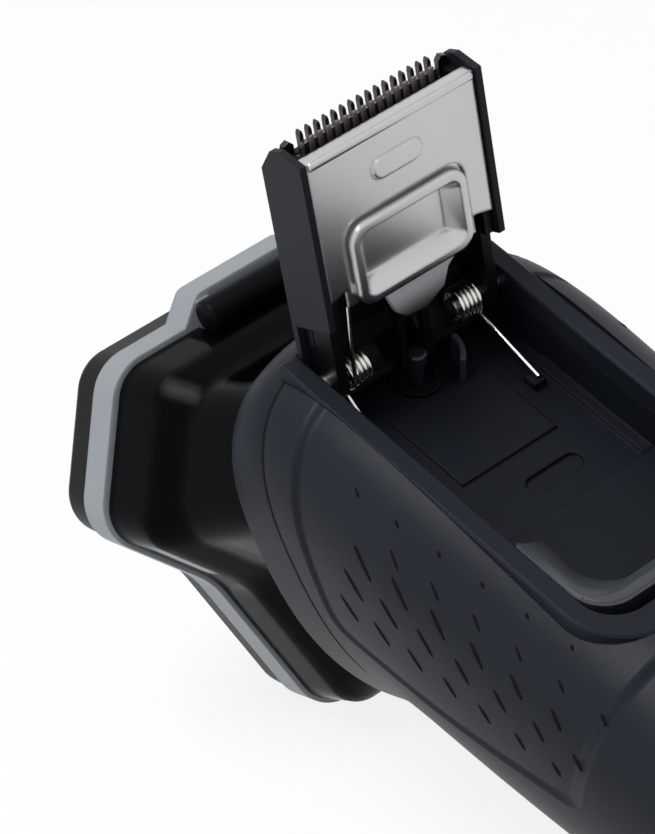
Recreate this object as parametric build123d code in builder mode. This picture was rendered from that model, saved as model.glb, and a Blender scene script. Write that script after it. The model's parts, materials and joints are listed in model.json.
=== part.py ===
"""Rotary electric shaver, lying on its front with the long-hair trimmer popped up.

The shaver rests on the rim of its head and on a small flat foot at its heel. World +Z is up,
+X runs towards the heel, and the origin is the middle of the heel's foot, so the table is the
plane z = 0. Almost every piece is drawn on one of four planes: the deck (the flat back around
the trimmer bay), the neck (square to the head), the side (for outlines seen from the left) and
the raised trimmer.
"""

from build123d import *
from math import copysign, cos, pi, radians, sin, tan
import os

os.makedirs("parts", exist_ok=True)

# ---------------------------------------------------------------- driving dimensions (mm, degrees)
lean = 15.0  # how far the deck slopes down towards the heel
tilt = 30.0  # how far the head's face turns towards the front of the body

# body
body_length = 124.0  # from the trimmer's hinge to the heel
wall = 2.2
belly_half = 24.0
waist_half = 22.6
heel_half = 18.6
foot_depth = 1.4  # how much of the heel's underside the flat foot takes off
rim_flat = 0.15  # and how much the flat on the cap's rim takes off
neck_x = 8.0  # middle of the seam between collar and grip, along the deck
neck_z = -21.0  # and below it
collar_depth = 8.0
split_radius = 16.0
split_rise = 8.0
heel_round = 4.0

# deck, trimmer bay and release slide
bezel_half = 16.8
bezel_start = -4.0
bezel_end = 55.8
bezel_corner = 9.0
bezel_thick = 3.0
bay_half = 14.0
bay_end = 51.5
bay_corner = 5.0
bay_depth = 9.0
tray_wall = 1.2
shelf_start = 29.6
shelf_rise = 1.2
panel_start = 5.6
panel_end = 19.0
panel_half = 7.5
dimple_x = 24.3  # the pressed mark in the floor
dimple_y = 2.5
dimple_slot = (8.4, 2.8)
socket_x = 11.9  # where the right spring's leg ends
slide_start = 35.1
slide_stop = 37.3
slide_drop = 0.7
slide_depth = 4.0
slide_slope = 42.0
slide_arm = 0.8
slide_band = 3.4
slide_travel = 1.6

# pop-up trimmer
hinge_drop = 2.8  # trimmer hinge below the deck
recline = 12.0  # the open trimmer leans this far past square to the deck
trimmer_half = 13.6
trimmer_wall = 0.9
arm_radius = 2.6
trimmer_back = 3.6  # cover's outer face behind the hinge axis
cover_thick = 1.0
cover_top = 30.4
wall_top = 34.2
plate_face = 4.0  # front face of the steel plate ahead of the hinge axis
plate_half = 12.5
plate_low = 13.5
plate_top = 33.3
plate_thick = 0.5
lip_depth = 1.6
tub_half = 8.9
tub_low = 10.9
tub_top = 22.5
button_place = 27.7  # the long mark pressed out of the plate
button_slot = (7.6, 3.0)
tub_rise = 1.0
tub_depth = 2.2
tub_corner = 2.6
tub_draft = 35.0
rail_half = 11.3
comb_low = 22.0
comb_root = 31.4
comb_face = -0.2  # front face of the fixed comb
comb_thick = 0.8
comb_tip = 34.7
comb_pitch = 1.28
comb_teeth = 16
tooth_width = 0.5
blade_thick = 0.8
blade_tip = 33.5
blade_tooth = 0.72
blade_half = 10.2
blade_low = 24.0
blade_root = 31.0
lever_thick = 1.2
lever_half = 2.4
fork_half = 1.4
fork_foot = -3.2
fork_length = 7.0
knob_radius = 1.3
knob_x = 1.8
knob_top = -4.4
stem_radius = 0.9
stem_foot = -12.6
pin_hole = 2.2
guard_arc = 5.3
pin_notch = 3.0
pin_radius = 1.2
running = 0.08  # radial clearance of a running fit
gap = 0.3  # clearance between pieces that move past each other
coil_radius = 2.1
left_coil = 8.9
right_coil = 8.9
coil_turns = 5
coil_pitch = 0.66
left_leg = (7.0, -8.7)
right_leg = (12.3, -7.5)
wire_radius = 0.3

# head
head_reach = 36.8  # seam to the far edge of the silver band, along the head's axis
head_drop = 3.3  # head axis in front of the neck axis
lobe_reach = 32.0
front_corner = (13.5, 32.0)  # the head's outline, from its axis: across, and towards the front
waist_point = (21.0, 7.2)
side_corner = (33.0, -6.7)
back_corner = (22.4, -25.0)
lobe_corner = 6.5
waist_corner = 11.0
band_height = 5.0
band_wall = 1.8
parting = 31.7  # where the lid meets the base
lid_gap = 0.1
rim_scale = 0.975
crease_scale = 0.945
base_crease = 24.6  # below it the base narrows to the neck
base_shell = 1.8
web_place = 18.2
web_thick = 2.0
stub_inset = 0.9
stub_start = 1.0
neck_meets = 9.0
foot_scale = 0.74
foot_shift = 3.0
shoulder = 20.5
shoulder_scale = 0.83
shoulder_shift = 0.5
skin = 0.09  # the base's wall as a share of its width
gear_room = 0.88
bearing_radius = 3.0
cap_height = 6.5
cap_inset = 0.3
cap_draft = 4.0
cap_plate = 2.0
cap_round = 1.8
boss_half = 8.0
boss_reach = 28.3
boss_slope = 4.5
barrel_radius = 2.0
barrel_half = 6.2
barrel_web = 5.0
barrel_pocket = 3.3
lug_width = 2.0
hinge_pin_radius = 0.7
barrel_up = 25.6  # the lid's hinge, from the head's axis and along it
barrel_out = 29.5
disc_ring = 16.5  # the three shaving discs sit on this radius
disc_radius = 10.6
guard_thick = 0.5
guard_rise = 1.5
guard_slots = 30
flange = 0.8
cutter_blades = 9
cutter_thick = 0.7
hub_radius = 2.8
track_inner = 6.6
spindle_radius = 1.6
spindle_tip = 1.0
cover_place = 29.6  # plate over the gears
ring_place = 34.0  # frame that carries the shaving discs
ring_thick = 2.5
gear_module = 1.0
gear_teeth = 18
pinion_teeth = 15
gear_width = 3.0
gear_place = 26.0
root_tooth = 0.92
tip_tooth = 0.28
motor_radius = 10.5
motor_back = -4.0
shaft_radius = 1.15

# inside the handle
battery_radius = 7.2
battery_length = 48.0
battery_start = 48.0
battery_z = -24.0
board_thick = 1.2
board_half = 13.0
board_length = 56.0
board_z = -14.6
wall_thick = 2.4
wall_half = 6.8
chassis_thick = 1.6
chassis_half = 10.0
chassis_z = -32.8
chassis_start = 40.0
chassis_end = 104.0
screw_radius = 1.1
screw_depth = 2.6
post_places = (46.0, 98.0)
post_half = 9.0
button_radius = 7.5
button_x = 58.0
button_z = -32.0
button_travel = 0.8
button_face = 10.9
button_flange = 3.7
socket_width = 7.6
socket_height = 3.8
socket_z = -19.0
socket_depth = 11.0

# ---------------------------------------------------------------- planes
up_slope = radians(lean)
head_slope = radians(tilt)
heel_x = body_length
tray_start = -trimmer_back - gap - tray_wall

# The small flat on the cap's rim, at the front lobe, rests on the table. Its height below the
# neck's middle sets the deck's height.
cap_face = head_reach + cap_height
rest_lift = cap_height - cap_round
rest_reach = lobe_reach - cap_inset - rest_lift * tan(radians(cap_draft)) + head_drop
rim_fall = rest_reach * sin(pi / 2 - head_slope + up_slope) + (head_reach + rest_lift) * sin(
    head_slope - up_slope
)
neck_fall = neck_x * sin(up_slope) - neck_z * cos(up_slope)
rim_round_fall = cap_round * (1 - cos(head_slope - up_slope))
deck_height = rim_fall + neck_fall + rim_round_fall - rim_flat


def table_z(x):
    """Height of the table below the deck plane, measured square to the deck, at the place x."""
    return (x * sin(up_slope) - deck_height) / cos(up_slope)


foot_x = heel_x - 4.4
foot_z = table_z(foot_x)
deck_x = -(foot_x * cos(up_slope) + foot_z * sin(up_slope))
deck = Plane(
    origin=(deck_x, 0, deck_height),
    x_dir=(cos(up_slope), 0, -sin(up_slope)),
    z_dir=(sin(up_slope), 0, cos(up_slope)),
)


def deck_plane(x=0.0, y=0.0, z=0.0):
    """A plane parallel to the deck, with its origin at x, y, z of the deck's own axes."""
    return Plane(origin=deck.from_local_coords((x, y, z)), x_dir=deck.x_dir, z_dir=deck.z_dir)


def cross_plane(x):
    """A plane square to the body: its own x runs across the body and its y runs out of the back."""
    return Plane(origin=deck.from_local_coords((x, 0, 0)), x_dir=deck.y_dir, z_dir=deck.x_dir)


def side_plane(y=0.0):
    """The body seen from its left side: x runs to the heel and y out of the back."""
    return Plane(origin=deck.from_local_coords((0, y, 0)), x_dir=deck.x_dir, z_dir=-deck.y_dir)


def neck_vector(across, up, out):
    """A direction in the neck's axes, written in the deck's: out points to the head's face."""
    along = -up * sin(head_slope) - out * cos(head_slope)
    back = up * cos(head_slope) - out * sin(head_slope)
    return Vector(along, across, back)


def neck_point(across, up, out):
    local = Vector(neck_x, 0, neck_z) + neck_vector(across, up, out)
    return deck.from_local_coords(local)


def deck_direction(local):
    return deck.from_local_coords(local) - deck.origin


def neck_plane(out, up=0.0, across=0.0):
    """Square to the neck, facing the head: its own x runs across and its y towards the back."""
    return Plane(
        origin=neck_point(across, up, out),
        x_dir=deck_direction(neck_vector(-1, 0, 0)),
        z_dir=deck_direction(neck_vector(0, 0, 1)),
    )


def neck_cross(out, up=0.0):
    """The same plane turned to face the heel, so that body sections follow each other."""
    return Plane(
        origin=neck_point(0, up, out),
        x_dir=deck_direction(neck_vector(1, 0, 0)),
        z_dir=deck_direction(neck_vector(0, 0, -1)),
    )


def head_plane(out, across=0.0, up=0.0):
    return neck_plane(out, up - head_drop, across)


def trimmer_plane(ahead=0.0):
    """The raised trimmer: x runs across, y up the trimmer and z out of its steel face."""
    back = radians(recline)
    front = Vector(cos(back), 0, sin(back))
    origin = Vector(0, 0, -hinge_drop) + front * ahead
    return Plane(
        origin=deck.from_local_coords(origin),
        x_dir=deck.y_dir,
        z_dir=deck_direction(front),
    )


def trimmer_side(across=0.0):
    """The trimmer's outline from its side: x runs out of its steel face and y up from its hinge."""
    face = trimmer_plane()
    return Plane(
        origin=face.from_local_coords((across, 0, 0)),
        x_dir=face.z_dir,
        z_dir=face.x_dir * -1,
    )


def button_plane():
    """On the front of the body, facing the table, where the thumb finds the switch."""
    return Plane(
        origin=deck.from_local_coords((button_x, 0, button_z)),
        x_dir=deck.x_dir,
        z_dir=-deck.z_dir,
    )


def finish(piece, name):
    piece.part.label = name
    export_step(piece.part, f"parts/{name}.step")


# ---------------------------------------------------------------- body sections
def oval(half, top, widest, bottom, upper_power=2.6, lower_power=2.2, inset=0.0):
    """A closed smooth outline: flatter over the back than over the front."""
    corners = []
    for step in range(16):
        turn = 2 * pi * step / 16
        upper = sin(turn) >= 0
        power = 2 / (upper_power if upper else lower_power)
        height = (top - widest if upper else widest - bottom) - inset
        out_share = copysign(round(abs(cos(turn)), 9) ** power, cos(turn))
        up_share = copysign(round(abs(sin(turn)), 9) ** power, sin(turn))
        corners.append((out_share * (half - inset), widest + up_share * height))
    with BuildLine() as outline:
        Spline(*corners, periodic=True)
    return outline.line


# each section of the body: half width, top, widest level and bottom
collar_section = (belly_half + 0.3, 22.7, 2.0, -32.8)
seam_section = (belly_half + 0.7, 24.2, 2.0, -32.6)
belly_x = 42.0
belly_section = (belly_half, 1.6, -17.0, -43.7)
grip_x = 76.0
grip_section = (waist_half, 0.8, -17.5, -38.2)
shank_x = 102.0
shank_section = (waist_half - 2.0, -0.6, -18.0, -37.6)
heel_section = (heel_half, -2.6, -18.5, table_z(heel_x) - foot_depth)
neck_powers = (3.2, 2.0)


def body_sections(inset, first, last):
    """Sections of the body's outer form, or with an inset of its inner one, from collar to heel."""
    sections = []
    for out, section in ((first, collar_section), (0.0, seam_section)):
        with BuildSketch(neck_cross(out)) as cut:
            make_face(oval(*section, *neck_powers, inset=inset))
        sections.append(cut.sketch.face())
    body_places = (belly_x, grip_x, shank_x, last)
    for x, section in zip(body_places, (belly_section, grip_section, shank_section, heel_section)):
        with BuildSketch(cross_plane(x)) as cut:
            make_face(oval(*section, inset=inset))
        sections.append(cut.sketch.face())
    return sections


def grip_outline():
    """Side view of all that belongs to the grip: behind the seam and above the split line."""
    up = Vector(-sin(head_slope), cos(head_slope))
    seam_top = Vector(neck_x, neck_z) + up * 45
    seam_foot = Vector(neck_x, neck_z) - up * 25
    far = heel_x + 20
    corners = [
        (seam_top.X, seam_top.Y),
        (seam_foot.X, seam_foot.Y),
        (grip_x, grip_section[3] + split_rise),
        (far, heel_section[3] + split_rise),
        (far, 20),
    ]
    with BuildLine() as outline:
        FilletPolyline(*corners, radius=[0.1, split_radius, 60.0, 0.1, 0.1], close=True)
    return outline.line


def u_outline(start, end, half, corner):
    """A strip along the deck whose heel end has two rounded corners."""
    corners = [(start, -half), (end, -half), (end, half), (start, half)]
    with BuildLine() as outline:
        FilletPolyline(*corners, radius=[0.5, corner, corner, 0.5], close=True)
    return outline.line


def closed(*corners):
    with BuildLine() as outline:
        Polyline(*corners, close=True)
    return outline.line


# ---------------------------------------------------------------- head outlines
def head_corners(scale=1.0, shift=0.0):
    """The head's corners about its axis: one lobe to the front and two to the sides."""
    side = (front_corner, waist_point, side_corner, back_corner)
    right = [(across * scale, shift - out * scale) for across, out in side]
    left = [(-across, out) for across, out in reversed(right)]
    return right + left


def drawn_in(corners, inset):
    """The same polygon with every side moved in."""
    moved = []
    for place, corner in enumerate(corners):
        before = (Vector(*corner) - Vector(*corners[place - 1])).normalized()
        after = (Vector(*corners[(place + 1) % len(corners)]) - Vector(*corner)).normalized()
        inward = Vector(-before.Y - after.Y, before.X + after.X)
        moved.append(Vector(*corner) + inward * (inset / (1 + before.dot(after))))
    return moved


def rounded(corners, corner, waist):
    one_side = [corner, waist, corner, corner]
    with BuildLine() as outline:
        FilletPolyline(*corners, radius=one_side + one_side[::-1], close=True)
    return outline.line


def lobes(inset=0.0):
    """The head's outline drawn in by an inset all round."""
    return rounded(drawn_in(head_corners(), inset), lobe_corner - inset, waist_corner + inset)


def boss(inset=0.0):
    """The raised middle of the head's back edge, over the hinge."""
    top = boss_reach - inset
    foot = boss_half + boss_slope - inset
    with BuildLine() as outline:
        FilletPolyline(
            (boss_half - inset, top),
            (inset - boss_half, top),
            (-foot, top - boss_slope),
            (-foot, top / 2),
            (foot, top / 2),
            (foot, top - boss_slope),
            radius=[2.0, 2.0, 2.0, 0.1, 0.1, 2.0],
            close=True,
        )
    return outline.line


# ---------------------------------------------------------------- handle shells
with BuildPart() as body_shell:
    loft(body_sections(0.0, collar_depth, heel_x))
    heel_end = body_shell.faces().sort_by(Axis(deck.origin, deck.x_dir))[-1]
    fillet(heel_end.edges(), heel_round)
    loft(body_sections(wall, collar_depth + 1.0, heel_x - 3 * wall), mode=Mode.SUBTRACT)

with BuildPart() as deck_opening:
    with BuildSketch(deck_plane(z=-bezel_thick)):
        make_face(u_outline(bezel_start, bezel_end, bezel_half, bezel_corner))
    extrude(amount=15)
    with BuildSketch(deck_plane(z=-bay_depth - tray_wall)):
        make_face(u_outline(tray_start, bay_end + tray_wall, bay_half + tray_wall, bay_corner))
    extrude(amount=bay_depth + tray_wall - bezel_thick)
    with BuildSketch(deck_plane(z=-bezel_thick)):
        with Locations(((tray_start + bezel_start) / 2, 0)):
            Rectangle(bezel_start - tray_start, 2 * bay_half)
    extrude(amount=15)

with BuildPart() as trimmer_swing:
    with BuildSketch(trimmer_side(-bay_half)):
        Circle(trimmer_back + gap)
        with Locations(((6 - trimmer_back - gap) / 2, 7)):
            Rectangle(6 + trimmer_back + gap, 14)
    extrude(amount=-2 * bay_half)

with BuildPart() as grip_shell:
    add(body_shell.part)
    with BuildSketch(side_plane()):
        make_face(grip_outline())
    extrude(amount=40, both=True, mode=Mode.INTERSECT)
    add(deck_opening.part, mode=Mode.SUBTRACT)
    with BuildSketch(cross_plane(heel_x - 12)):
        with Locations((0, socket_z)):
            RectangleRounded(socket_width + 2, socket_height + 2, 1.2)
    extrude(amount=20, mode=Mode.SUBTRACT)
finish(grip_shell, "grip_shell")

with BuildPart() as front_shell:
    add(body_shell.part)
    with BuildSketch(side_plane()):
        make_face(grip_outline())
    extrude(amount=40, both=True, mode=Mode.SUBTRACT)
    add(deck_opening.part, mode=Mode.SUBTRACT)
    add(trimmer_swing.part, mode=Mode.SUBTRACT)
    split(bisect_by=Plane.XY, keep=Keep.TOP)
    with BuildSketch(button_plane()):
        Circle(button_radius + gap)
    extrude(amount=20, mode=Mode.SUBTRACT)
    for x in post_places:
        for side in (-1, 1):
            with BuildSketch(deck_plane(x, side * post_half, chassis_z)):
                Circle(2.4)
            extrude(until=Until.NEXT, dir=-deck.z_dir)
            with BuildSketch(deck_plane(x, side * post_half, chassis_z)):
                Circle(screw_radius)
            extrude(amount=-screw_depth, mode=Mode.SUBTRACT)
finish(front_shell, "front_shell")

# ---------------------------------------------------------------- trimmer bay
with BuildPart() as back_bezel:
    with BuildSketch(deck_plane(z=-bezel_thick)):
        make_face(u_outline(bezel_start, bezel_end, bezel_half, bezel_corner))
        make_face(u_outline(tray_start, bay_end, bay_half, bay_corner), mode=Mode.SUBTRACT)
    extrude(amount=bezel_thick)
    chamfer(back_bezel.faces().sort_by(Axis(deck.origin, deck.z_dir))[-1].edges(), 0.3)
    with BuildSketch(trimmer_side(-bezel_half)):
        Circle(pin_radius)
    extrude(amount=-2 * bezel_half, mode=Mode.SUBTRACT)
finish(back_bezel, "back_bezel")

with BuildPart() as trimmer_bay:
    with BuildSketch(deck_plane(z=-bay_depth - tray_wall)):
        make_face(u_outline(tray_start, bay_end + tray_wall, bay_half + tray_wall, bay_corner))
    extrude(amount=bay_depth + tray_wall - bezel_thick)
    with BuildSketch(deck_plane(z=-bay_depth)):
        make_face(u_outline(tray_start + tray_wall, bay_end, bay_half, bay_corner))
    extrude(amount=bay_depth, mode=Mode.SUBTRACT)
    with BuildSketch(deck_plane(z=-bay_depth)):
        make_face(u_outline(shelf_start, bay_end, bay_half, bay_corner))
    extrude(amount=shelf_rise)
    with BuildSketch(deck_plane(z=-bay_depth)):
        with Locations(((panel_start + panel_end) / 2, 0)):
            Rectangle(panel_end - panel_start, 2 * panel_half)
        with Locations((19.0, bay_half - 0.8)):
            Rectangle(20.0, 1.6)
    extrude(amount=0.4)
    with BuildSketch(deck_plane(z=-bay_depth)):
        for side in (-1, 1):
            with Locations(((slide_stop + bay_end - 1) / 2, side * (bay_half - 1.3))):
                Rectangle(bay_end - 1 - slide_stop, 2.6)
    extrude(amount=bay_depth - slide_depth)
    with BuildSketch(deck_plane(dimple_x, dimple_y, -bay_depth)):
        SlotOverall(*dimple_slot, rotation=90)
    extrude(amount=-0.5, mode=Mode.SUBTRACT)
    with BuildSketch(deck_plane(knob_x, 0, -bay_depth)):
        Circle(pin_hole)
    extrude(amount=-2 * tray_wall, mode=Mode.SUBTRACT)
    with BuildSketch(deck_plane(socket_x, right_coil + 1.4, -bay_depth)):
        Rectangle(2.0, 1.8)
    extrude(amount=1.2)
    with BuildSketch(trimmer_side(-bezel_half)):
        Circle(pin_radius)
    extrude(amount=-2 * bezel_half, mode=Mode.SUBTRACT)
finish(trimmer_bay, "trimmer_bay")

with BuildPart() as release_slide:
    with BuildSketch(deck_plane(z=-slide_depth)):
        make_face(u_outline(slide_start, bay_end - slide_travel - gap, bay_half - gap, bay_corner))
    extrude(amount=slide_depth - slide_drop)
    inner_end = bay_end - slide_travel - gap - slide_band / 2
    with BuildSketch(deck_plane(z=-slide_drop)):
        make_face(u_outline(slide_start - 10, inner_end, bay_half - gap - 0.4, bay_corner))
    extrude(amount=-slide_depth, taper=slide_slope, mode=Mode.SUBTRACT)
    with BuildSketch(deck_plane(z=-slide_depth)):
        with Locations((slide_start, 0)):
            Rectangle(2 * (slide_stop - slide_start), 2 * (bay_half - gap - slide_arm))
    extrude(amount=slide_depth, mode=Mode.SUBTRACT)
finish(release_slide, "release_slide")

with BuildPart() as pin_seal:
    with BuildSketch(deck_plane(knob_x, 0, -bay_depth)):
        Circle(pin_hole + 1.2)
        Circle(pin_hole, mode=Mode.SUBTRACT)
    extrude(amount=0.5)
finish(pin_seal, "pin_seal")

with BuildPart() as drive_guard:
    with BuildSketch(deck_plane(knob_x, 0, -bay_depth)):
        with BuildLine():
            outer = CenterArc((0, 0), guard_arc + 0.7, 40, 48)
            inner = CenterArc((0, 0), guard_arc, 40, 48)
            Line(outer @ 0, inner @ 0)
            Line(outer @ 1, inner @ 1)
        make_face()
    extrude(amount=bay_depth - 4.9)
    add(trimmer_bay.part, mode=Mode.SUBTRACT)
finish(drive_guard, "drive_guard")

with BuildPart() as drive_pin:
    with BuildSketch(deck_plane(knob_x, 0, stem_foot)):
        Circle(stem_radius)
    extrude(amount=knob_top - 0.8 - stem_foot)
    with BuildSketch(deck_plane(knob_x, 0, knob_top - 1.6)):
        Circle(knob_radius)
    extrude(amount=1.6)
    fillet(drive_pin.edges().sort_by(Axis(deck.origin, deck.z_dir))[-1], 0.4)
    with BuildSketch(deck_plane(knob_x, 0, stem_foot)):
        Circle(3.6)
    extrude(amount=-bay_depth - tray_wall - stem_foot)
finish(drive_pin, "drive_pin")

for side, name, coil_place in ((-1, "left", left_coil), (1, "right", right_coil)):
    inner_end = coil_place - wire_radius - coil_turns * coil_pitch / 2
    with BuildPart() as pivot_pin:
        with BuildSketch(trimmer_side(side * inner_end)):
            Circle(pin_radius)
        extrude(amount=-side * (bay_half + tray_wall - inner_end))
    finish(pivot_pin, f"{name}_pivot_pin")

# ---------------------------------------------------------------- trimmer springs
coil_span = coil_turns * coil_pitch
springs = ((-1, "left", left_coil, left_leg), (1, "right", right_coil, right_leg))
for side, name, coil_place, leg_end in springs:
    outer_end = side * (coil_place + coil_span / 2)
    coil_start = outer_end if side > 0 else outer_end + coil_span
    with BuildPart() as spring:
        with BuildLine() as coil:
            Helix(
                coil_pitch,
                coil_span,
                coil_radius,
                center=deck.from_local_coords((0, coil_start, -hinge_drop)),
                direction=(0, -1, 0),
                lefthand=side > 0,
            )
        with BuildSketch(Plane(origin=coil.line @ 0, z_dir=coil.line % 0)):
            Circle(wire_radius)
        sweep(path=coil.line, is_frenet=True)
        leg_start = coil.line @ (0 if side > 0 else 1)
        leg = deck.from_local_coords((leg_end[0], outer_end, leg_end[1])) - leg_start
        with BuildSketch(Plane(origin=leg_start, z_dir=leg)):
            Circle(wire_radius)
        extrude(amount=leg.length)
    finish(spring, f"{name}_spring")

# ---------------------------------------------------------------- pop-up trimmer
def trimmer_block(low, high, half, behind, ahead):
    """A plain block of the trimmer between two levels, from behind to ahead of its hinge."""
    with BuildSketch(trimmer_plane(behind)) as face:
        with Locations((0, (low + high) / 2)):
            Rectangle(2 * half, high - low)
    return extrude(face.sketch, amount=ahead - behind)


with BuildPart() as trimmer_cover:
    for side in (-1, 1):
        with BuildSketch(trimmer_side(side * trimmer_half)):
            make_face(
                closed(
                    (-trimmer_back, 7.5),
                    (-trimmer_back, cover_top),
                    (-1.3, wall_top - 0.6),
                    (0.6, wall_top),
                    (plate_face + 0.4, wall_top - 0.7),
                    (plate_face + 0.4, 10.0),
                )
            )
        extrude(amount=side * trimmer_wall)
    with BuildSketch(trimmer_side(-trimmer_half)):
        with Locations((cover_thick / 2 - trimmer_back, cover_top / 2)):
            Rectangle(cover_thick, cover_top)
    extrude(amount=-2 * trimmer_half)
    with BuildSketch(trimmer_side(-trimmer_half)):
        Circle(trimmer_back)
        Circle(trimmer_back - 0.8, mode=Mode.SUBTRACT)
        with Locations((-trimmer_back, -trimmer_back)):
            Rectangle(2 * trimmer_back, 2 * trimmer_back, mode=Mode.INTERSECT)
    extrude(amount=-2 * trimmer_half)
    with BuildSketch(trimmer_side(-pin_notch)):
        with Locations((0, -trimmer_back)):
            Rectangle(2 * trimmer_back, 2 * trimmer_back)
    extrude(amount=-2 * pin_notch, mode=Mode.SUBTRACT)
finish(trimmer_cover, "trimmer_cover")

frame_back = cover_thick - trimmer_back
comb_back = comb_face - comb_thick
plate_back = plate_face - plate_thick
inner_half = trimmer_half - trimmer_wall
with BuildPart() as trimmer_frame:
    add(trimmer_block(4.6, 30.0, inner_half, frame_back, comb_back))
    for side in (-1, 1):
        rail_middle = side * (rail_half + inner_half) / 2
        with BuildSketch(trimmer_plane(comb_back)):
            with Locations((rail_middle, 21.3)):
                Rectangle(inner_half - rail_half, 22.6)
        extrude(amount=plate_back - comb_back)
        with BuildSketch(trimmer_side(side * (inner_half - 0.1))):
            Circle(arm_radius)
            with Locations((0, 5.5)):
                Rectangle(2 * arm_radius, 11.0)
            Circle(pin_radius + running, mode=Mode.SUBTRACT)
        extrude(amount=side * 1.5)
    comb_slot = trimmer_block(comb_low, wall_top, inner_half - 0.1, comb_back, comb_face)
    add(comb_slot, mode=Mode.SUBTRACT)
finish(trimmer_frame, "trimmer_frame")

with BuildPart() as trimmer_comb:
    add(trimmer_block(comb_low, comb_root, inner_half - 0.1, comb_back, comb_face))
    for tooth in range(comb_teeth):
        across = (tooth - (comb_teeth - 1) / 2) * comb_pitch
        with BuildSketch(trimmer_plane(comb_back)):
            make_face(
                closed(
                    (across - tooth_width / 2, comb_root - 0.2),
                    (across - tooth_width / 2, comb_tip - 0.5),
                    (across - tooth_width / 4, comb_tip),
                    (across + tooth_width / 4, comb_tip),
                    (across + tooth_width / 2, comb_tip - 0.5),
                    (across + tooth_width / 2, comb_root - 0.2),
                )
            )
        extrude(amount=comb_thick)
    guard_start = (comb_teeth - 1) / 2 * comb_pitch + comb_pitch
    for side in (-1, 1):
        with BuildSketch(trimmer_plane(comb_back)):
            make_face(
                closed(
                    (side * guard_start, comb_root - 0.2),
                    (side * guard_start, wall_top - 0.6),
                    (side * (guard_start + 0.6), wall_top),
                    (side * (inner_half - 0.5), wall_top - 0.3),
                    (side * (inner_half - 0.1), wall_top - 1.4),
                    (side * (inner_half - 0.1), comb_root - 0.2),
                )
            )
        extrude(amount=comb_thick)
finish(trimmer_comb, "trimmer_comb")

with BuildPart() as moving_blade:
    add(trimmer_block(blade_low, blade_root, blade_half, comb_face, comb_face + blade_thick))
    for tooth in range(comb_teeth):
        across = (tooth - (comb_teeth - 1) / 2) * comb_pitch
        with BuildSketch(trimmer_plane(comb_face)):
            with Locations((across, (blade_root + blade_tip) / 2)):
                Rectangle(blade_tooth, blade_tip - blade_root)
        extrude(amount=blade_thick)
finish(moving_blade, "moving_blade")

with BuildPart() as drive_lever:
    with BuildSketch(trimmer_plane(comb_face + blade_thick)):
        with Locations((0, (fork_foot + blade_root) / 2 - 0.5)):
            RectangleRounded(2 * lever_half, blade_root - 1.0 - fork_foot, 0.4)
        with Locations((0, fork_foot + fork_length / 2 - 1)):
            Rectangle(2 * fork_half, fork_length + 2, mode=Mode.SUBTRACT)
        with Locations((0, blade_root - 3.5)):
            RectangleRounded(12.0, 5.0, 0.8)
    extrude(amount=lever_thick)
finish(drive_lever, "drive_lever")

with BuildPart() as trimmer_plate:
    with BuildSketch(trimmer_plane(plate_back)):
        make_face(
            closed(
                (-plate_half, plate_low),
                (-plate_half, plate_top),
                (plate_half, plate_top),
                (plate_half, plate_low),
                (tub_half + 1.2, plate_low + 0.6),
                (-tub_half - 1.6, plate_low + 0.6),
            )
        )
        with Locations((0, (tub_top + 0.4) / 2)):
            RectangleRounded(2 * tub_half + 0.8, tub_top + 0.4, tub_corner, mode=Mode.SUBTRACT)
    extrude(amount=plate_thick)
    lip_back = plate_face - lip_depth
    add(trimmer_block(plate_top - plate_thick, plate_top, plate_half, lip_back, plate_back))
    with BuildSketch(trimmer_plane(plate_face)):
        with Locations((0, button_place)):
            SlotOverall(*button_slot)
    extrude(amount=0.4)
    fillet(trimmer_plate.faces().sort_by(Axis(deck.origin, trimmer_plane().z_dir))[-1].edges(), 0.3)
finish(trimmer_plate, "trimmer_plate")

with BuildPart() as plate_tub:
    with BuildSketch(trimmer_plane(plate_face + tub_rise - tub_depth - 0.4)):
        with Locations((0, (tub_low + tub_top) / 2)):
            RectangleRounded(2 * tub_half, tub_top - tub_low, tub_corner)
    extrude(amount=tub_depth + 0.4)
    fillet(plate_tub.faces().sort_by(Axis(deck.origin, trimmer_plane().z_dir))[-1].edges(), 0.5)
    with BuildSketch(trimmer_plane(plate_back)):
        with Locations((0, (tub_low + tub_top) / 2 + 0.7)):
            Rectangle(2 * tub_half + 2.0, tub_top - tub_low + 0.6)
    extrude(amount=-0.5)
    with BuildSketch(trimmer_plane(plate_face + tub_rise)):
        with Locations((0, (tub_low + tub_top) / 2)):
            RectangleRounded(2 * tub_half - 2.6, tub_top - tub_low - 2.6, tub_corner - 1.2)
    extrude(amount=-tub_depth, taper=tub_draft, mode=Mode.SUBTRACT)
    with BuildSketch(trimmer_plane(plate_back - 0.5)):
        make_face(
            closed(
                (-4.9, tub_low + 0.5),
                (-3.5, 7.2),
                (-2.1, 5.9),
                (0.9, 5.6),
                (3.9, 7.1),
                (4.9, 9.4),
                (7.4, tub_low + 0.5),
            )
        )
    extrude(amount=0.9)
finish(plate_tub, "plate_tub")

# ---------------------------------------------------------------- head base
def base_section(out, scale, shift=0.0):
    with BuildSketch(head_plane(out)) as section:
        make_face(rounded(head_corners(scale, shift), lobe_corner - 1.0, waist_corner))
    return section.sketch.face()


disc_turns = [radians(120 * lobe) for lobe in range(3)]
disc_centres = [(disc_ring * sin(turn), -disc_ring * cos(turn)) for turn in disc_turns]
band_place = head_reach - band_height
barrel_plane = Plane(
    origin=head_plane(barrel_out, 0, barrel_up).origin,
    x_dir=head_plane(0).y_dir,
    z_dir=-deck.y_dir,
)

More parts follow.
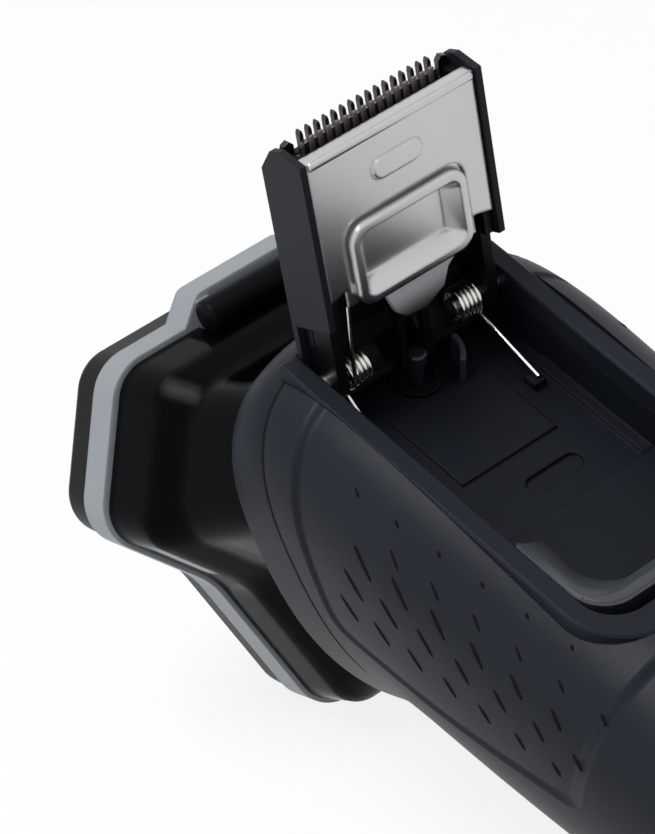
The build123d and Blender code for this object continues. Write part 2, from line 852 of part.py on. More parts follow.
with BuildPart() as hinge_barrel:
    with BuildSketch(barrel_plane):
        Circle(barrel_radius)
        with Locations((-barrel_web / 2, -1.0)):
            Rectangle(barrel_web, 1.8)
        Circle(hinge_pin_radius, mode=Mode.SUBTRACT)
    extrude(amount=barrel_half, both=True)
finish(hinge_barrel, "hinge_barrel")

with BuildPart() as head_base:
    loft(
        [
            base_section(neck_meets, foot_scale, foot_shift),
            base_section(shoulder, shoulder_scale, shoulder_shift),
            base_section(base_crease, crease_scale),
            base_section(parting - lid_gap, rim_scale),
        ],
        ruled=True,
    )
    with BuildSketch(neck_cross(stub_start)):
        make_face(oval(*collar_section, *neck_powers, inset=wall + stub_inset))
    extrude(amount=stub_start - neck_meets)
    with BuildSketch(neck_cross(stub_start)):
        make_face(oval(*collar_section, *neck_powers, inset=wall + stub_inset + base_shell))
    extrude(amount=stub_start - neck_meets, mode=Mode.SUBTRACT)
    inner_foot = base_section(neck_meets, foot_scale - skin, foot_shift)
    inner_top = base_section(web_place, shoulder_scale - skin, shoulder_shift / 2)
    loft([inner_foot, inner_top], ruled=True, mode=Mode.SUBTRACT)
    lower_room = (web_place + web_thick, shoulder_scale - 2 * skin / 3)
    upper_room = (gear_place - 0.6, gear_room)
    for start, scale in (lower_room, upper_room):
        with BuildSketch(head_plane(start)):
            make_face(rounded(head_corners(scale), lobe_corner - 1.0, waist_corner))
        extrude(amount=parting - web_place, mode=Mode.SUBTRACT)
    with BuildSketch(head_plane(web_place)):
        with Locations(*disc_centres):
            Circle(bearing_radius)
    extrude(amount=gear_place - 0.2 - web_place)
    with BuildSketch(head_plane(web_place)):
        with Locations(*disc_centres):
            Circle(spindle_radius + running)
    extrude(amount=gear_place - web_place, mode=Mode.SUBTRACT)
    with BuildSketch(head_plane(web_place)):
        Circle(shaft_radius + running)
    extrude(amount=web_thick, mode=Mode.SUBTRACT)
    with BuildSketch(barrel_plane):
        Circle(barrel_pocket)
    extrude(amount=barrel_half + lug_width + 1.3, both=True, mode=Mode.SUBTRACT)
    add(hinge_barrel.part, mode=Mode.SUBTRACT)
    add(deck_opening.part, mode=Mode.SUBTRACT)
    add(trimmer_swing.part, mode=Mode.SUBTRACT)
finish(head_base, "head_base")

with BuildPart() as neck_seal:
    with BuildSketch(neck_cross(neck_meets)):
        make_face(oval(*collar_section, *neck_powers, inset=wall + 0.15))
        make_face(oval(*collar_section, *neck_powers, inset=wall + stub_inset), mode=Mode.SUBTRACT)
    extrude(amount=2.4)
    add(deck_opening.part, mode=Mode.SUBTRACT)
    add(trimmer_swing.part, mode=Mode.SUBTRACT)
finish(neck_seal, "neck_seal")

with BuildPart() as head_hinge_pin:
    with BuildSketch(barrel_plane):
        Circle(hinge_pin_radius)
    extrude(amount=barrel_half + lug_width + 0.2, both=True)
finish(head_hinge_pin, "head_hinge_pin")

# ---------------------------------------------------------------- head lid
with BuildPart() as head_band:
    with BuildSketch(head_plane(band_place)):
        make_face(lobes())
        make_face(boss())
        make_face(lobes(band_wall), mode=Mode.SUBTRACT)
    extrude(amount=band_height)
    lug_middle = barrel_half + 0.4 + lug_width / 2
    for side in (-1, 1):
        with BuildSketch(barrel_plane.offset(side * lug_middle)):
            Circle(barrel_radius - 0.1)
            with Locations((0, (band_place - barrel_out) / 2 + 0.3)):
                Rectangle(2 * barrel_radius - 0.2, band_place - barrel_out + 0.6)
            Circle(hinge_pin_radius + running, mode=Mode.SUBTRACT)
        extrude(amount=lug_width / 2, both=True)
finish(head_band, "head_band")

with BuildPart() as shaving_cap:
    with BuildSketch(head_plane(head_reach)):
        make_face(lobes(cap_inset))
    extrude(amount=cap_height, taper=cap_draft)
    face = shaving_cap.faces().sort_by(Axis(head_plane(0).origin, head_plane(0).z_dir))[-1]
    fillet(face.edges(), cap_round)
    with BuildSketch(head_plane(head_reach)):
        make_face(lobes(cap_inset + 2.0))
    extrude(amount=cap_height - cap_plate, mode=Mode.SUBTRACT)
    with BuildSketch(head_plane(head_reach)):
        with Locations(*disc_centres):
            Circle(disc_radius + gap)
    extrude(amount=cap_height, mode=Mode.SUBTRACT)
    split(bisect_by=Plane.XY, keep=Keep.TOP)
finish(shaving_cap, "shaving_cap")

with BuildPart() as retaining_frame:
    with BuildSketch(head_plane(ring_place)):
        make_face(lobes(band_wall))
        with Locations(*disc_centres):
            Circle(disc_radius - 0.4, mode=Mode.SUBTRACT)
    extrude(amount=ring_thick)
finish(retaining_frame, "retaining_frame")

# ---------------------------------------------------------------- shaving discs, cutters and their drive
flange_top = cap_face - cap_plate
guard_top = cap_face + guard_rise
for number, (across, up) in enumerate(disc_centres, 1):
    with BuildPart() as guard:
        with BuildSketch(head_plane(flange_top - 0.7, -across, up)):
            Circle(disc_radius + flange)
        extrude(amount=0.7)
        with BuildSketch(head_plane(flange_top - 0.7, -across, up)):
            Circle(disc_radius)
        extrude(amount=guard_top - flange_top + 0.7)
        rim_face = guard.faces().sort_by(Axis(head_plane(0).origin, head_plane(0).z_dir))[-1]
        fillet(rim_face.edges(), 0.6)
        with BuildSketch(head_plane(flange_top - 0.7, -across, up)):
            Circle(disc_radius - 0.6)
        extrude(amount=guard_top - guard_thick - flange_top + 0.7, mode=Mode.SUBTRACT)
        with BuildSketch(head_plane(guard_top - guard_thick, -across, up)):
            with PolarLocations((disc_radius + track_inner) / 2 - 0.4, guard_slots):
                Rectangle(disc_radius - track_inner - 1.6, 0.45)
        extrude(amount=guard_thick, mode=Mode.SUBTRACT)
    finish(guard, f"guard_{number}")

    with BuildPart() as cutter:
        disc_bottom = flange_top + 0.6
        with BuildSketch(head_plane(ring_place + ring_thick + 0.1, -across, up)):
            Circle(hub_radius)
        extrude(amount=disc_bottom + cutter_thick - ring_place - ring_thick - 0.1)
        with BuildSketch(head_plane(disc_bottom, -across, up)):
            Circle(disc_radius - 1.0)
        extrude(amount=cutter_thick)
        with BuildSketch(head_plane(disc_bottom, -across, up)):
            with PolarLocations((disc_radius - 1.0 + track_inner) / 2, cutter_blades):
                Rectangle(disc_radius - 1.0 - track_inner, 0.8)
        extrude(amount=guard_top - guard_thick - gap / 2 - disc_bottom)
        with BuildSketch(head_plane(ring_place + ring_thick, -across, up)):
            Circle(spindle_tip + 0.9)
        extrude(amount=3.1, mode=Mode.SUBTRACT)
    finish(cutter, f"cutter_{number}")

    with BuildPart() as spindle:
        with BuildSketch(head_plane(web_place + 0.2, -across, up)):
            Circle(spindle_radius)
        extrude(amount=ring_place + ring_thick - web_place - 0.4)
        with BuildSketch(head_plane(ring_place + ring_thick - 0.2, -across, up)):
            Circle(spindle_tip)
        extrude(amount=2.0)
    finish(spindle, f"spindle_{number}")


def gear_outline(teeth, phase=0.0):
    """A gear with straight-sided teeth and easy play; its first tooth points along the plane's x."""
    corners = []
    pitch = gear_module * teeth / 2
    for tooth in range(teeth):
        middle = 2 * pi * (tooth + phase) / teeth
        places = ((-root_tooth, -1.1), (-tip_tooth, 0.85), (tip_tooth, 0.85), (root_tooth, -1.1))
        for width, depth in places:
            radius = pitch + depth * gear_module
            turn = middle + width * gear_module / radius
            corners.append((radius * cos(turn), radius * sin(turn)))
    with BuildLine() as outline:
        Polyline(*corners, close=True)
    return outline.line


with BuildPart() as drive_pinion:
    middle = head_plane(gear_place)
    with BuildSketch(Plane(middle.origin, middle.y_dir * -1, middle.z_dir)):
        make_face(gear_outline(pinion_teeth))
        Circle(shaft_radius, mode=Mode.SUBTRACT)
    extrude(amount=gear_width)
finish(drive_pinion, "drive_pinion")

for number, (across, up) in enumerate(disc_centres, 1):
    centre = head_plane(gear_place, -across, up)
    to_pinion = head_plane(gear_place).origin - centre.origin
    with BuildPart() as gear:
        with BuildSketch(Plane(centre.origin, to_pinion, centre.z_dir)):
            make_face(gear_outline(gear_teeth, 0.5))
            Circle(spindle_radius, mode=Mode.SUBTRACT)
        extrude(amount=gear_width)
    finish(gear, f"gear_{number}")

with BuildPart() as gear_cover:
    with BuildSketch(head_plane(cover_place)):
        make_face(rounded(head_corners(gear_room), lobe_corner - 1.0, waist_corner))
        with Locations(*disc_centres):
            Circle(spindle_radius + gap, mode=Mode.SUBTRACT)
    extrude(amount=1.4)
    with BuildSketch(barrel_plane):
        Circle(barrel_pocket)
    extrude(amount=barrel_half + lug_width + 1.3, both=True, mode=Mode.SUBTRACT)
finish(gear_cover, "gear_cover")

# ---------------------------------------------------------------- motor
with BuildPart() as motor:
    with BuildSketch(head_plane(motor_back)):
        Circle(motor_radius)
    extrude(amount=web_place - motor_back)
    fillet(motor.edges().filter_by(GeomType.CIRCLE), 0.8)
    with BuildSketch(head_plane(web_place)):
        Circle(shaft_radius + running)
    extrude(amount=-8, mode=Mode.SUBTRACT)
finish(motor, "motor")

with BuildPart() as motor_mount:
    with BuildSketch(head_plane(web_place - 4)):
        Circle(motor_radius + 2.4)
        Circle(motor_radius, mode=Mode.SUBTRACT)
    extrude(amount=4)
finish(motor_mount, "motor_mount")

with BuildPart() as drive_shaft:
    with BuildSketch(head_plane(web_place - 7.5)):
        Circle(shaft_radius)
    extrude(amount=gear_place + gear_width + 0.2 - web_place + 7.5)
finish(drive_shaft, "drive_shaft")

# ---------------------------------------------------------------- inside the handle
with BuildPart() as chassis:
    middle = (chassis_start + chassis_end) / 2
    with BuildSketch(deck_plane(middle, 0, chassis_z)):
        RectangleRounded(chassis_end - chassis_start, 2 * chassis_half, 3.0)
        for x in post_places:
            for side in (-1, 1):
                with Locations((x - middle, side * post_half)):
                    Circle(screw_radius, mode=Mode.SUBTRACT)
    extrude(amount=chassis_thick)
    for x in (battery_start - wall_thick, battery_start + battery_length):
        with BuildSketch(deck_plane(x + wall_thick / 2, 0, chassis_z + chassis_thick)):
            Rectangle(wall_thick, 2 * wall_half)
        extrude(amount=board_z - chassis_z - chassis_thick)
finish(chassis, "chassis")

with BuildPart() as battery:
    with BuildSketch(cross_plane(battery_start)):
        with Locations((0, battery_z)):
            Circle(battery_radius)
    extrude(amount=battery_length)
    fillet(battery.edges().filter_by(GeomType.CIRCLE), 0.6)
finish(battery, "battery")

with BuildPart() as circuit_board:
    with BuildSketch(deck_plane(72.0, 0, board_z)):
        RectangleRounded(board_length, 2 * board_half, 2.0)
    extrude(amount=board_thick)
    with BuildSketch(deck_plane(72.0, 0, board_z + board_thick)):
        with Locations((-14, 3), (2, -4), (16, 4)):
            Rectangle(7, 5)
    extrude(amount=1.0)
finish(circuit_board, "circuit_board")

number = 0
for x in post_places:
    for side in (-1, 1):
        number += 1
        with BuildPart() as screw:
            with BuildSketch(deck_plane(x, side * post_half, chassis_z + chassis_thick)):
                Circle(1.9)
            extrude(amount=1.2)
            with BuildSketch(deck_plane(x, side * post_half, chassis_z - screw_depth)):
                Circle(screw_radius)
            extrude(amount=screw_depth + chassis_thick)
        finish(screw, f"chassis_screw_{number}")

with BuildPart() as power_button:
    with BuildSketch(button_plane()):
        Circle(button_radius)
    extrude(amount=button_face)
    fillet(power_button.faces().sort_by(Axis(deck.origin, deck.z_dir))[0].edges(), 0.8)
    with BuildSketch(button_plane().offset(button_flange)):
        Circle(button_radius + 1.1)
    extrude(amount=0.9)
    with BuildSketch(button_plane()):
        Circle(button_radius + 2)
    extrude(amount=button_flange, mode=Mode.SUBTRACT)
finish(power_button, "power_button")

with BuildPart() as button_switch:
    with BuildSketch(deck_plane(button_x, 0, chassis_z)):
        Rectangle(6.0, 6.0)
    extrude(amount=-(chassis_z - button_z + button_flange - button_travel - 0.1))
finish(button_switch, "button_switch")

with BuildPart() as charging_socket:
    with BuildSketch(cross_plane(heel_x - socket_depth)):
        with Locations((0, socket_z)):
            RectangleRounded(socket_width + 2, socket_height + 2, 1.2)
    extrude(amount=socket_depth - 0.6)
    with BuildSketch(cross_plane(heel_x - socket_depth + 1.5)):
        with Locations((0, socket_z)):
            SlotOverall(socket_width, socket_height)
    extrude(amount=socket_depth, mode=Mode.SUBTRACT)
    with BuildSketch(cross_plane(heel_x - socket_depth)):
        with Locations((-1.7, socket_z), (1.7, socket_z)):
            Circle(0.6)
    extrude(amount=socket_depth - 2.5)
finish(charging_socket, "charging_socket")
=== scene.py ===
# %% [markdown]
# # A rotary shaver with its long-hair trimmer popped up
# The shaver lies on its front. Its handle, head, trimmer and everything that moves come from a packed
# engineering model, which is the fixed frame of this scene. Here it gets its finishes, the pressed
# marks of its grip, the fine springs' legs, the soft studio and the camera. All lengths are in metres.

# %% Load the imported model
import bmesh
import bpy
import json
from math import cos, pi, radians, sin
from mathutils import Matrix, Vector


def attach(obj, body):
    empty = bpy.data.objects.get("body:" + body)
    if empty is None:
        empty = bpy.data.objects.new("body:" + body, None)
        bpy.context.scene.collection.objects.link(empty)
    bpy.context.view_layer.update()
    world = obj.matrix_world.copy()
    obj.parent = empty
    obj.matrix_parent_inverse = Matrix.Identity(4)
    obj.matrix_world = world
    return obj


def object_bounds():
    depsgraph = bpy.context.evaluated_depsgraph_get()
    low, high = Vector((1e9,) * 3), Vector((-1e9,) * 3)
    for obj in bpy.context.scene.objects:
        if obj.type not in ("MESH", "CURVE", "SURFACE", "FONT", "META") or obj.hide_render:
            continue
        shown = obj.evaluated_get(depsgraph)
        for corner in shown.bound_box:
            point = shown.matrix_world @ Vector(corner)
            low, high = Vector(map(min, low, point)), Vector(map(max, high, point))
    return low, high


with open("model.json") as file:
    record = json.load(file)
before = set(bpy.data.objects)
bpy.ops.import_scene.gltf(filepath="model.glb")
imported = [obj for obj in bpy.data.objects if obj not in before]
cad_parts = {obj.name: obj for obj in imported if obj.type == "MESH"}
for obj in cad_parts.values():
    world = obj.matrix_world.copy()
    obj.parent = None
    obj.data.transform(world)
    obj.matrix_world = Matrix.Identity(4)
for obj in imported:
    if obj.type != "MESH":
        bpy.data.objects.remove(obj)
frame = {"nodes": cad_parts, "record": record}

cad_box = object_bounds()
nodes = frame["nodes"]
lowest, highest = ([round(v, 4) for v in corner] for corner in cad_box)
print(len(nodes), "nodes from", lowest, "to", highest)

# %% [markdown]
# ## The deck's axes
# The flat back around the trimmer bay slopes down by 15 degrees towards the heel. Most pieces are easier
# to place from it than from the table: along runs to the heel, across to the right-hand side and up out of
# the back. The zero is over the trimmer's hinge.

# %% Deck axes
LEAN = radians(15)
DECK_ORIGIN = Vector((-0.106001, 0, 0.066497))
DECK_ALONG = Vector((cos(LEAN), 0, -sin(LEAN)))
DECK_UP = Vector((sin(LEAN), 0, cos(LEAN)))


def deck_point(along, across, up):
    """A point given in millimetres on the deck's axes."""
    return DECK_ORIGIN + (DECK_ALONG * along + Vector((0, across, 0)) + DECK_UP * up) / 1000


def deck_direction(along, across, up):
    return DECK_ALONG * along + Vector((0, across, 0)) + DECK_UP * up


print("deck hinge line at", [round(v, 4) for v in deck_point(0, 0, -2.8)])

# %% [markdown]
# ## The camera
# It looks down on the left rear of the shaver, a little rolled, with a long lens from about half a metre,
# so the trimmer stands up in the middle and the heel runs out of the lower right corner.

# %% Camera
camera_data = bpy.data.cameras.new("studio_camera")
camera = bpy.data.objects.new("studio_camera", camera_data)
bpy.context.scene.collection.objects.link(camera)
camera_data.sensor_fit = "VERTICAL"
camera_data.sensor_height = 36.0
camera_data.lens = 161.43
camera_data.clip_start = 0.01
camera_data.clip_end = 20
right = Vector((0.608824, 0.772270, -0.181472))
upward = Vector((-0.362603, 0.474362, 0.802184))
backward = right.cross(upward).normalized()
turned = Matrix((right, upward, backward)).transposed()
place = deck_point(241.382, -203.529, 322.017)
camera.matrix_world = Matrix.Translation(place) @ turned.to_4x4()
bpy.context.scene.camera = camera
print("camera", [round(v, 4) for v in camera.location])

# %% [markdown]
# ## The studio
# A plain white sweep: a floor that carries a soft shadow, a white world that glossy surfaces also mirror,
# one large soft lamp over the back and a weaker one from the left.

# %% World
world = bpy.data.worlds.new("studio_world")
bpy.context.scene.world = world
world.use_nodes = True
tree = world.node_tree
tree.nodes.clear()
rays = tree.nodes.new("ShaderNodeLightPath")
seen = tree.nodes.new("ShaderNodeMath")
seen.operation = "MAXIMUM"
mirrored = tree.nodes.new("ShaderNodeMath")
mirrored.operation = "MAXIMUM"
lit = tree.nodes.new("ShaderNodeBackground")
lit.inputs["Color"].default_value = (0.93, 0.96, 1.0, 1)
lit.inputs["Strength"].default_value = 0.32
shown = tree.nodes.new("ShaderNodeBackground")
shown.inputs["Color"].default_value = (1, 1, 1, 1)
shown.inputs["Strength"].default_value = 1.0
either = tree.nodes.new("ShaderNodeMixShader")
ground = tree.nodes.new("ShaderNodeOutputWorld")
tree.links.new(rays.outputs["Is Camera Ray"], seen.inputs[0])
tree.links.new(rays.outputs["Is Glossy Ray"], seen.inputs[1])
tree.links.new(seen.outputs[0], mirrored.inputs[0])
tree.links.new(rays.outputs["Is Transmission Ray"], mirrored.inputs[1])
tree.links.new(mirrored.outputs[0], either.inputs["Fac"])
tree.links.new(lit.outputs[0], either.inputs[1])
tree.links.new(shown.outputs[0], either.inputs[2])
tree.links.new(either.outputs[0], ground.inputs["Surface"])
print("world ready")

# %% Lamps
def soft_lamp(name, place, target, size, power):
    """A square lamp of one size in metres, turned towards a point."""
    data = bpy.data.lights.new(name, "AREA")
    data.size = size
    data.energy = power
    lamp = bpy.data.objects.new(name, data)
    bpy.context.scene.collection.objects.link(lamp)
    lamp.location = place
    lamp.rotation_euler = (Vector(target) - Vector(place)).to_track_quat("-Z", "Y").to_euler()
    return lamp


middle = (-0.07, 0, 0.05)
soft_lamp("top_lamp", (-0.15, -0.25, 0.80), middle, 0.35, 5.5)
soft_lamp("left_lamp", (-0.30, -0.70, 0.25), middle, 0.4, 0.5)
print("two lamps")

# %% [markdown]
# ## A floor
# It is white to the camera and to mirrors, with only a faint shadow, so it is a plain diffuse sheet mixed
# with a little light of its own.

# %% Floor
floor_shape = bmesh.new()
bmesh.ops.create_grid(floor_shape, x_segments=2, y_segments=2, size=3.0)
floor_mesh = bpy.data.meshes.new("studio_floor")
floor_shape.to_mesh(floor_mesh)
floor_shape.free()
floor = bpy.data.objects.new("studio_floor", floor_mesh)
bpy.context.scene.collection.objects.link(floor)
paper = bpy.data.materials.new("white_paper")
paper.use_nodes = True
tree = paper.node_tree
tree.nodes.clear()
matt = tree.nodes.new("ShaderNodeBsdfDiffuse")
matt.inputs["Color"].default_value = (0.9, 0.9, 0.9, 1)
glow = tree.nodes.new("ShaderNodeEmission")
glow.inputs["Strength"].default_value = 1.0
rays = tree.nodes.new("ShaderNodeLightPath")
seen = tree.nodes.new("ShaderNodeMath")
seen.operation = "MAXIMUM"
share = tree.nodes.new("ShaderNodeMath")
share.operation = "MULTIPLY"
share.inputs[1].default_value = 0.85
both = tree.nodes.new("ShaderNodeMixShader")
sheet = tree.nodes.new("ShaderNodeOutputMaterial")
tree.links.new(rays.outputs["Is Camera Ray"], seen.inputs[0])
tree.links.new(rays.outputs["Is Glossy Ray"], seen.inputs[1])
tree.links.new(seen.outputs[0], share.inputs[0])
tree.links.new(share.outputs[0], both.inputs["Fac"])
tree.links.new(matt.outputs[0], both.inputs[1])
tree.links.new(glow.outputs[0], both.inputs[2])
tree.links.new(both.outputs[0], sheet.inputs["Surface"])
floor_mesh.materials.append(paper)
print("floor ready")

# %% [markdown]
# ## Finishes
# Every finish starts from one recipe: two tones mixed by slow noise, a roughness that wanders a little, and
# a fine grain that lifts the surface. Moulded plastic has a coarse satin grain, stamped steel a fine one,
# and painted metal effect has flakes. A small rounding of the edges is worked out by the shader, because
# no moulded or stamped edge is truly sharp.

# %% Finish recipe
def finish(name, tones, rough, grain_size, grain_depth, metal=0.0, gloss=0.5, edge=0.00025, tone_size=0.02):
    """A material with two tones, wandering roughness, grain and softened edges; sizes in metres."""
    material = bpy.data.materials.new(name)
    material.use_nodes = True
    tree = material.node_tree
    surface = tree.nodes["Principled BSDF"]
    surface.inputs["Metallic"].default_value = metal
    surface.inputs["Specular IOR Level"].default_value = gloss
    spot = tree.nodes.new("ShaderNodeTexCoord")
    slow = tree.nodes.new("ShaderNodeTexNoise")
    slow.inputs["Scale"].default_value = 1 / tone_size
    slow.inputs["Detail"].default_value = 3.0
    tree.links.new(spot.outputs["Object"], slow.inputs["Vector"])
    mix = tree.nodes.new("ShaderNodeMix")
    mix.data_type = "RGBA"
    mix.inputs[6].default_value = (*tones[0], 1)
    mix.inputs[7].default_value = (*tones[1], 1)
    tree.links.new(slow.outputs["Fac"], mix.inputs[0])
    tree.links.new(mix.outputs[2], surface.inputs["Base Color"])
    grain = tree.nodes.new("ShaderNodeTexNoise")
    grain.inputs["Scale"].default_value = 1 / grain_size
    grain.inputs["Detail"].default_value = 2.0
    tree.links.new(spot.outputs["Object"], grain.inputs["Vector"])
    wander = tree.nodes.new("ShaderNodeMapRange")
    wander.inputs["To Min"].default_value = rough[0]
    wander.inputs["To Max"].default_value = rough[1]
    tree.links.new(grain.outputs["Fac"], wander.inputs["Value"])
    tree.links.new(wander.outputs[0], surface.inputs["Roughness"])
    edges = tree.nodes.new("ShaderNodeBevel")
    edges.samples = 4
    edges.inputs["Radius"].default_value = edge
    lift = tree.nodes.new("ShaderNodeBump")
    lift.inputs["Strength"].default_value = 1.0
    lift.inputs["Distance"].default_value = grain_depth
    tree.links.new(grain.outputs["Fac"], lift.inputs["Height"])
    tree.links.new(edges.outputs["Normal"], lift.inputs["Normal"])
    tree.links.new(lift.outputs["Normal"], surface.inputs["Normal"])
    return material


print("recipe ready")

# %% [markdown]
# ## The plastics
# The handle is a satin blue-black plastic with a fine moulded grain. The bay under the trimmer is a shade
# darker, the trimmer's frame a plain charcoal, and the head's base a polished black.

# %% Plastics
body_plastic = finish(
    "body_plastic",
    ((0.006, 0.0085, 0.013), (0.010, 0.0135, 0.020)),
    (0.40, 0.52), 0.00035, 0.000010, gloss=0.13,
)
collar_plastic = finish(
    "collar_plastic",
    ((0.005, 0.008, 0.013), (0.008, 0.012, 0.019)),
    (0.36, 0.46), 0.0004, 0.000008, gloss=0.08,
)
bay_plastic = finish(
    "bay_plastic",
    ((0.004, 0.0055, 0.009), (0.007, 0.0095, 0.014)),
    (0.42, 0.55), 0.0003, 0.000008, gloss=0.10, edge=0.0005,
)
slide_plastic = finish(
    "slide_plastic",
    ((0.022, 0.026, 0.033), (0.052, 0.059, 0.070)),
    (0.28, 0.55), 0.00016, 0.00006, gloss=0.35,
)
trimmer_plastic = finish(
    "trimmer_plastic",
    ((0.009, 0.011, 0.014), (0.013, 0.015, 0.019)),
    (0.45, 0.55), 0.0003, 0.000008, gloss=0.11,
)
black_plastic = finish(
    "black_plastic",
    ((0.002, 0.0025, 0.003), (0.004, 0.0045, 0.005)),
    (0.35, 0.5), 0.0004, 0.00001, gloss=0.12,
)
gloss_black = finish(
    "gloss_black",
    ((0.0003, 0.0007, 0.0008), (0.0007, 0.0013, 0.0015)),
    (0.06, 0.10), 0.003, 0.000003, gloss=0.04, edge=0.0025,
)
cap_plastic = finish(
    "cap_plastic",
    ((0.002, 0.002, 0.003), (0.004, 0.004, 0.005)),
    (0.3, 0.42), 0.0003, 0.000006, gloss=0.05, edge=0.0005,
)
pin_plastic = finish(
    "pin_plastic",
    ((0.015, 0.018, 0.030), (0.028, 0.033, 0.050)),
    (0.22, 0.34), 0.0004, 0.000008, gloss=0.4,
)
gear_plastic = finish("gear_plastic", ((0.55, 0.53, 0.47), (0.65, 0.63, 0.57)), (0.4, 0.5), 0.0004, 0.00001)
rubber = finish(
    "rubber",
    ((0.003, 0.003, 0.0035), (0.005, 0.005, 0.006)),
    (0.7, 0.85), 0.0003, 0.00002, gloss=0.1,
)
print("plastics ready")

# %% [markdown]
# ## The metals
# The band round the head is a satin silver paint with fine flakes, the trimmer's plate and tray are stamped
# stainless steel, and the blades are ground steel that looks darker.

# %% Metals
silver = finish(
    "silver",
    ((0.23, 0.25, 0.27), (0.31, 0.335, 0.36)),
    (0.34, 0.56), 0.00014, 0.00006, metal=0.2, gloss=0.3, edge=0.0006,
)
steel = finish(
    "steel",
    ((0.50, 0.505, 0.515), (0.57, 0.575, 0.58)),
    (0.22, 0.28), 0.0009, 0.0000015, metal=1.0, edge=0.0005,
)
blade_steel = finish(
    "blade_steel",
    ((0.17, 0.145, 0.135), (0.30, 0.26, 0.245)),
    (0.22, 0.38), 0.0003, 0.000008, metal=1.0, edge=0.0001,
)
comb_steel = finish(
    "comb_steel",
    ((0.045, 0.042, 0.042), (0.085, 0.078, 0.076)),
    (0.22, 0.38), 0.0003, 0.000008, metal=1.0, edge=0.0001,
)
tooth_steel = finish(
    "tooth_steel",
    ((0.11, 0.095, 0.088), (0.20, 0.175, 0.165)),
    (0.35, 0.5), 0.0003, 0.000008, metal=0.4, edge=0.0001,
)
spring_steel = finish(
    "spring_steel",
    ((0.62, 0.60, 0.57), (0.72, 0.71, 0.69)),
    (0.12, 0.2), 0.0004, 0.000002, metal=1.0, edge=0.0001,
)
motor_steel = finish(
    "motor_steel",
    ((0.40, 0.41, 0.42), (0.52, 0.53, 0.54)),
    (0.3, 0.45), 0.0005, 0.00001, metal=1.0,
)
battery_wrap = finish("battery_wrap", ((0.02, 0.06, 0.13), (0.03, 0.08, 0.17)), (0.25, 0.35), 0.0008, 0.00001)
board_green = finish("board_green", ((0.01, 0.06, 0.03), (0.02, 0.09, 0.045)), (0.3, 0.4), 0.0006, 0.00001)
print("metals ready")

# %% Which finish each node wears
finishes = {
    "body_plastic": body_plastic,
    "bay_plastic": bay_plastic,
    "slide_plastic": slide_plastic,
    "pin_plastic": pin_plastic,
    "trimmer_plastic": trimmer_plastic,
    "black_plastic": black_plastic,
    "gloss_black": gloss_black,
    "cap_plastic": cap_plastic,
    "gear_plastic": gear_plastic,
    "silver": silver,
    "steel": steel,
    "blade_steel": blade_steel,
    "spring_steel": spring_steel,
    "motor_steel": motor_steel,
    "battery_wrap": battery_wrap,
    "board_green": board_green,
    "rubber": rubber,
}
print(len(finishes), "finishes")

# %% Dress the nodes
for part in frame["record"]["subparts"]:
    node = nodes[part["node"]]
    node.data.materials.clear()
    node.data.materials.append(finishes[part["material_slot"]])
print("dressed", len(nodes), "nodes")

# %% [markdown]
# ## The grip's sunken panel
# Each flank of the grip has a shallow sunken panel behind a soft step: its front edge runs beside the seam,
# its lower edge along the belly and its heel edge straight up. The step is under a millimetre, so it is
# given to the grip's own finish as a height: the distance to the nearest of four straight edges, eased
# over two millimetres, drives a bump.

# %% The grip's finish
grip_plastic = body_plastic.copy()
grip_plastic.name = "grip_plastic"
tree = grip_plastic.node_tree
spot = tree.nodes["Texture Coordinate"]
edges_of_panel = (
    (8.0, -10.0, 0.918, 0.398),
    (29.8, -26.3, -0.228, 0.974),
    (20.0, -26.0, 0.0, 1.0),
    (58.3, -8.0, -1.0, 0.06),
)
nearest = None
for along, up, inward, rising in edges_of_panel:
    towards = deck_direction(inward, 0, rising)
    reach = tree.nodes.new("ShaderNodeVectorMath")
    reach.operation = "DOT_PRODUCT"
    reach.inputs[1].default_value = towards
    tree.links.new(spot.outputs["Object"], reach.inputs[0])
    inside = tree.nodes.new("ShaderNodeMath")
    inside.operation = "SUBTRACT"
    inside.inputs[1].default_value = deck_point(along, 0, up).dot(towards)
    tree.links.new(reach.outputs["Value"], inside.inputs[0])
    if nearest:
        lower = tree.nodes.new("ShaderNodeMath")
        lower.operation = "SMOOTH_MIN"
        lower.inputs[2].default_value = 0.004
        tree.links.new(nearest.outputs[0], lower.inputs[0])
        tree.links.new(inside.outputs[0], lower.inputs[1])
        nearest = lower
    else:
        nearest = inside
step = tree.nodes.new("ShaderNodeMapRange")
step.interpolation_type = "SMOOTHSTEP"
step.inputs["From Min"].default_value = -0.0006
step.inputs["From Max"].default_value = 0.0016
step.inputs["To Min"].default_value = 1.0
step.inputs["To Max"].default_value = 0.0
tree.links.new(nearest.outputs[0], step.inputs["Value"])
sunk = tree.nodes.new("ShaderNodeBump")
sunk.inputs["Distance"].default_value = 0.0009
tree.links.new(step.outputs[0], sunk.inputs["Height"])
tree.links.new(tree.nodes["Bevel"].outputs["Normal"], sunk.inputs["Normal"])
tree.links.new(sunk.outputs["Normal"], tree.nodes["Bump"].inputs["Normal"])
nodes["grip_shell"].data.materials[0] = grip_plastic
nodes["front_shell"].data.materials[0] = collar_plastic
nodes["drive_lever"].data.materials[0] = black_plastic
nodes["pin_seal"].data.materials[0] = black_plastic
nodes["trimmer_comb"].data.materials[0] = comb_steel
print("grip panel drawn")
